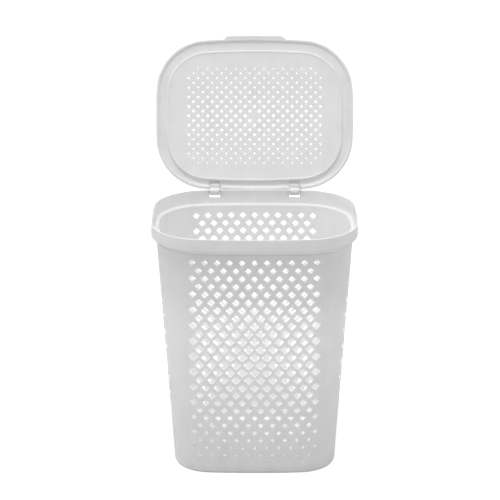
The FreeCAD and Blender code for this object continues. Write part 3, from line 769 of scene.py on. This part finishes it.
def buildClip(name, middle):
    # barrel round the pin, an arm forward, a leg up and a flat pad under the lid
    c = clipShape
    half, inner = c["arm"] / 2, -c["reach"] + c["arm"]
    low = c["top"] - c["padThick"]
    turn = math.asin(half / c["barrel"])
    arc = np.linspace(-math.pi + turn, math.pi - turn, c["arcSteps"])
    barrel = c["barrel"] * np.stack([np.cos(arc), np.sin(arc)], -1)
    padBack, padFront = inner + c["step"], inner + c["step"] - c["pad"]
    path = np.array([[inner, half], [inner, low], [padBack, low], [padBack, c["top"]],
                     [padFront, c["top"]], [padFront, low], [-c["reach"], low],
                     [-c["reach"], -half]])
    profile = np.concatenate([barrel, path]) + [hingeY, hingeZ]
    return extrude(name, profile, middle - c["width"] / 2, middle + c["width"] / 2, c["edge"],
                   lambda points, x: swing(acrossX(points, x)))


pinShape = dict(radius=0.002, headRadius=0.0032, head=0.0012, round=0.0005, turns=28)


def buildPin(name, side):
    # headed pin: a profile of (place along the pin, radius) turned about the hinge axis
    p = pinShape
    start = notchShape["offset"] - notchShape["width"] / 2 - earShape["thickness"]
    end = notchShape["offset"] + notchShape["width"] / 2 + earShape["thickness"]
    r, big, soft = p["radius"], p["headRadius"], p["round"]
    profile = np.array([[start, 0], [start, r - soft], [start + soft * 0.3, r - soft * 0.3],
                        [start + soft, r], [end, r], [end, big - soft * 0.4],
                        [end + soft * 0.2, big - soft * 0.1], [end + soft * 0.4, big],
                        [end + p["head"] - soft, big],
                        [end + p["head"] - soft * 0.3, big - soft * 0.3],
                        [end + p["head"], big - soft], [end + p["head"], 0]])
    turn = np.linspace(0, 2 * math.pi, p["turns"], endpoint=False)
    along, radius = profile[1:-1, 0][:, None], profile[1:-1, 1][:, None]
    rings = np.stack([side * (along + 0 * turn), hingeY + radius * np.cos(turn) * side,
                      hingeZ + radius * np.sin(turn)], -1)
    shell = newShell()
    index = addPoints(shell, rings)
    for lower, upper in zip(index[:-1], index[1:]):
        gridFaces(shell, lower, upper)
    addFaces(shell, *[index[0][i:i + 1] for i in range(p["turns"] - 1, -1, -1)])
    addFaces(shell, *[index[-1][i:i + 1] for i in range(p["turns"])])
    return writeShell(name, shell)


lidParts = [lidShell, buildTab()]
hingeParts = []
for hand, side in (("Left", -1), ("Right", 1)):
    clip = buildClip("clip" + hand, side * notchShape["offset"])
    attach(clip, "lid")
    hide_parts("hinge_clip_" + hand.lower())
    pin = buildPin("pin" + hand, side)
    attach(pin, "basket")
    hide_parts("hinge_pin_" + hand.lower())
    hingeParts += [clip, pin]
for hand, middle in (("Left", -notchShape["offset"]), ("Right", notchShape["offset"])):
    half = ribShape["gap"] / 2
    lidParts.append(buildRib("rib" + hand + "Inner", middle - half - ribShape["thickness"]))
    lidParts.append(buildRib("rib" + hand + "Outer", middle + half))
for piece in lidParts:
    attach(piece, "lid")
    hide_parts("lid")
print("lid:", len(lidShell.data.polygons), "faces and", len(lidParts) - 1, "small parts")


# moulded plastic: faint mottle, flow streaks and grain shared by all the materials
grainLook = dict(mottleScale=24.0, mottleDepth=0.030, flowAcross=46.0, flowAlong=5.0,
                 flowDepth=0.018, speckScale=1100.0, speckDepth=0.022, scuffScale=260.0,
                 scuffRough=0.10, rubLift=0.035, rubPolish=0.09, waveScale=17.0,
                 waveHeight=0.0005, waveStrength=0.22, grainScale=1500.0,
                 grainHeight=0.00008, grainStrength=0.35, wearScale=90.0, wearLow=0.35,
                 scuffStretch=0.12)


def linkNodes(tree, kind, sockets, **settings):
    # one node: settings are its own choices, sockets its inputs by name or place
    node = tree.nodes.new(kind)
    for key, value in settings.items():
        setattr(node, key, value)
    for key, value in sockets.items():
        socket = node.inputs[key]
        if isinstance(value, bpy.types.NodeSocket):
            tree.links.new(value, socket)
        else:
            socket.default_value = value
    return node


def combine(tree, operation, first, second):
    # sum, product or larger of two values
    return linkNodes(tree, "ShaderNodeMath", {0: first, 1: second},
                     operation=operation).outputs[0]


def makeGrainGroup():
    # colour = tint * mottle * flow * speck, lifted on rims and hole edges as a painted edge
    # highlight broken up by a wear noise; roughness rises with the scuffs and falls on those worn
    # edges; the normal carries a slow wave and a fine grain
    g = grainLook
    group = bpy.data.node_groups.new("mouldedGrain", "ShaderNodeTree")
    for name, kind in (("Tint", "NodeSocketColor"), ("Matt", "NodeSocketFloat"),
                       ("Shift", "NodeSocketVector")):
        group.interface.new_socket(name=name, in_out="INPUT", socket_type=kind)
    for name, kind in (("Colour", "NodeSocketColor"), ("Roughness", "NodeSocketFloat"),
                       ("Normal", "NodeSocketVector")):
        group.interface.new_socket(name=name, in_out="OUTPUT", socket_type=kind)
    given = group.nodes.new("NodeGroupInput").outputs
    result = group.nodes.new("NodeGroupOutput").inputs
    place = group.nodes.new("ShaderNodeTexCoord").outputs["Object"]
    place = linkNodes(group, "ShaderNodeVectorMath", {0: place, 1: given["Shift"]},
                      operation="ADD").outputs[0]

    def noise(vector, scale, detail, rough=0.5):
        return linkNodes(group, "ShaderNodeTexNoise", {"Vector": vector, "Scale": scale,
                         "Detail": detail, "Roughness": rough}).outputs[0]

    def spread(value, low, high, fromLow=0.3, fromHigh=0.7):
        return linkNodes(group, "ShaderNodeMapRange", {"Value": value, "From Min": fromLow,
                         "From Max": fromHigh, "To Min": low, "To Max": high}).outputs[0]

    def calc(operation, first, second):
        return combine(group, operation, first, second)

    mottle = noise(place, g["mottleScale"], 3.0)
    stretched = linkNodes(group, "ShaderNodeVectorMath",
                          {0: place, 1: (g["flowAcross"], g["flowAcross"], g["flowAlong"])},
                          operation="MULTIPLY").outputs[0]
    flow = noise(stretched, 1.0, 2.0)
    speck = noise(place, g["speckScale"], 2.0)
    tone = calc("MULTIPLY", spread(mottle, 1 - g["mottleDepth"], 1 + g["mottleDepth"] / 2),
                spread(flow, 1 - g["flowDepth"], 1 + g["flowDepth"] / 2))
    tone = calc("MULTIPLY", tone, spread(speck, 1 - g["speckDepth"], 1 + g["speckDepth"] / 2))
    # painted edge highlight: colour lifted where the weight is high, broken up by a wear noise
    rub = linkNodes(group, "ShaderNodeAttribute", {}, attribute_name="rub").outputs["Fac"]
    sheenAndWear = calc("MULTIPLY", rub, spread(noise(place, g["wearScale"], 4.0),
                                         g["wearLow"], 1.0))
    tone = calc("ADD", tone, calc("MULTIPLY", sheenAndWear, g["rubLift"]))
    colour = linkNodes(group, "ShaderNodeVectorMath", {0: given["Tint"], "Scale": tone},
                       operation="SCALE").outputs[0]
    group.links.new(colour, result["Colour"])

    along = linkNodes(group, "ShaderNodeVectorMath",
                      {0: place, 1: (1.0, 1.0, g["scuffStretch"])}, operation="MULTIPLY")
    scuff = noise(along.outputs[0], g["scuffScale"], 3.0, 0.65)
    matt = calc("ADD", given["Matt"], spread(scuff, -0.3 * g["scuffRough"], g["scuffRough"],
                                             0.45, 0.75))
    matt = calc("ADD", matt, spread(mottle, -0.02, 0.03))
    matt = calc("SUBTRACT", matt, calc("MULTIPLY", sheenAndWear, g["rubPolish"]))
    group.links.new(matt, result["Roughness"])

    wave = linkNodes(group, "ShaderNodeBump", {"Strength": g["waveStrength"],
                     "Distance": g["waveHeight"], "Height": noise(place, g["waveScale"], 1.0)})
    grain = linkNodes(group, "ShaderNodeBump", {"Strength": g["grainStrength"],
                      "Distance": g["grainHeight"], "Normal": wave.outputs[0],
                      "Height": noise(place, g["grainScale"], 2.0, 0.6)})
    group.links.new(grain.outputs[0], result["Normal"])
    return group


grainGroup = makeGrainGroup()
plasticLooks = dict(
    basketPlastic=dict(tint=(0.800, 0.802, 0.803), matt=0.40, shift=(0.0, 0.0, 0.0)),
    lidPlastic=dict(tint=(0.808, 0.810, 0.812), matt=0.37, shift=(3.1, 1.7, 0.4)),
    hingePlastic=dict(tint=(0.805, 0.804, 0.800), matt=0.34, shift=(7.3, 2.9, 5.5)))
translucency = dict(weight=1.0, radius=(1.0, 1.0, 1.0), scale=0.007, ior=1.49)


def makePlastic(name):
    look = plasticLooks[name]
    material = bpy.data.materials.new(name)
    material.use_nodes = True
    tree = material.node_tree
    shader = tree.nodes["Principled BSDF"]
    grain = linkNodes(tree, "ShaderNodeGroup", {}, node_tree=grainGroup)
    grain.inputs["Tint"].default_value = (*look["tint"], 1)
    grain.inputs["Matt"].default_value = look["matt"]
    grain.inputs["Shift"].default_value = look["shift"]
    tree.links.new(grain.outputs["Colour"], shader.inputs["Base Color"])
    tree.links.new(grain.outputs["Roughness"], shader.inputs["Roughness"])
    tree.links.new(grain.outputs["Normal"], shader.inputs["Normal"])
    shader.inputs["IOR"].default_value = translucency["ior"]
    shader.inputs["Subsurface Weight"].default_value = translucency["weight"]
    shader.inputs["Subsurface Radius"].default_value = translucency["radius"]
    shader.inputs["Subsurface Scale"].default_value = translucency["scale"]
    return material


for name, pieces in (("basketPlastic", [basketShell] + ears), ("lidPlastic", lidParts),
                     ("hingePlastic", hingeParts)):
    material = makePlastic(name)
    for piece in pieces:
        piece.data.materials.append(material)
print("plastics made")


# stage, light and camera
stageShape = dict(floorHalf=14.0, floorTone=0.42, floorGlow=0.75, skyTop=0.46, skySides=0.92,
                  skyLeft=0.12, skyFront=0.0, skyBack=1.05, down=1.64, downHeight=76.0,
                  downFrom=-25.0, downSize=16.0, inside=0.3, insideX=0.26, insideY=0.16,
                  insideZ=0.4)


def addStage():
    # floor sheet that reads as white paper to the eye and throws back only a soft fill
    s = stageShape
    mesh = bpy.data.meshes.new("studioFloor")
    h = s["floorHalf"]
    mesh.from_pydata([(-h, -h, 0), (h, -h, 0), (h, h, 0), (-h, h, 0)], [], [(0, 1, 2, 3)])
    floor = bpy.data.objects.new("studioFloor", mesh)
    bpy.context.scene.collection.objects.link(floor)
    material = bpy.data.materials.new("floorPaper")
    material.use_nodes = True
    tree = material.node_tree
    shader = tree.nodes["Principled BSDF"]
    shader.inputs["Base Color"].default_value = (s["floorTone"],) * 3 + (1,)
    shader.inputs["Roughness"].default_value = 0.95
    shader.inputs["Specular IOR Level"].default_value = 0.0
    shader.inputs["Emission Color"].default_value = (1, 1, 1, 1)
    path = tree.nodes.new("ShaderNodeLightPath").outputs["Is Camera Ray"]
    glow = combine(tree, "MULTIPLY", path, s["floorGlow"])
    tree.links.new(glow, shader.inputs["Emission Strength"])
    mesh.materials.append(material)
    addSky(s)
    data = bpy.data.lights.new("downLight", "SUN")
    data.energy = s["down"]
    data.angle = math.radians(s["downSize"])
    light = bpy.data.objects.new("downLight", data)
    around, up = math.radians(s["downFrom"]), math.radians(s["downHeight"])
    toward = Vector((math.sin(around) * math.cos(up), -math.cos(around) * math.cos(up),
                     math.sin(up)))
    light.rotation_euler = toward.to_track_quat("Z", "Y").to_euler()
    light.location = toward * 4
    bpy.context.scene.collection.objects.link(light)
    addInsideLight(s)


def addInsideLight(s):
    # soft panel under the rim, facing down, so that the inside reads as bright as outside
    data = bpy.data.lights.new("insideFill", "AREA")
    data.shape = "RECTANGLE"
    data.size, data.size_y, data.energy = s["insideX"], s["insideY"], s["inside"]
    light = bpy.data.objects.new("insideFill", data)
    light.location = (0, 0, s["insideZ"])
    light.visible_camera = False
    light.visible_glossy = False
    bpy.context.scene.collection.objects.link(light)


def addSky(s):
    # soft light by direction: top * z + sides * x^2 + left * (-x) + front * (-y) + back * y,
    # each taken only where it is positive
    world = bpy.data.worlds.new("studio")
    world.use_nodes = True
    tree = world.node_tree
    place = tree.nodes.new("ShaderNodeTexCoord")
    split = tree.nodes.new("ShaderNodeSeparateXYZ")
    tree.links.new(place.outputs["Generated"], split.inputs[0])

    x, y, z = split.outputs
    total = combine(tree, "MULTIPLY", combine(tree, "MAXIMUM", z, 0.0), s["skyTop"])
    squared = combine(tree, "MULTIPLY", x, x)
    total = combine(tree, "ADD", total, combine(tree, "MULTIPLY", squared, s["skySides"]))
    for axis, sign, strength in ((x, -1.0, s["skyLeft"]), (y, -1.0, s["skyFront"]),
                                 (y, 1.0, s["skyBack"])):
        facing = combine(tree, "MAXIMUM", combine(tree, "MULTIPLY", axis, sign), 0.0)
        total = combine(tree, "ADD", total, combine(tree, "MULTIPLY", facing, strength))
    tree.nodes["Background"].inputs["Color"].default_value = (1, 1, 1, 1)
    tree.links.new(total, tree.nodes["Background"].inputs["Strength"])
    bpy.context.scene.world = world


cameraShape = dict(azimuth=0.0, elevation=19.8, distance=3.854, aimX=0.0, aimY=0.0, aimZ=0.4553,
                   sensor=36.0, lens=131.6448, shift=0.0092)


def addCamera():
    c = cameraShape
    azimuth, elevation = math.radians(c["azimuth"]), math.radians(c["elevation"])
    aim = Vector((c["aimX"], c["aimY"], c["aimZ"]))
    back = Vector((-math.sin(azimuth) * math.cos(elevation),
                   -math.cos(azimuth) * math.cos(elevation), math.sin(elevation)))
    data = bpy.data.cameras.new("camera")
    data.sensor_width, data.lens, data.shift_x = c["sensor"], c["lens"], -c["shift"]
    camera = bpy.data.objects.new("camera", data)
    camera.location = aim + back * c["distance"]
    camera.rotation_euler = (aim - camera.location).to_track_quat("-Z", "Y").to_euler()
    bpy.context.scene.collection.objects.link(camera)
    bpy.context.scene.camera = camera


addStage()
addCamera()
bpy.context.scene.view_settings.view_transform = "Standard"
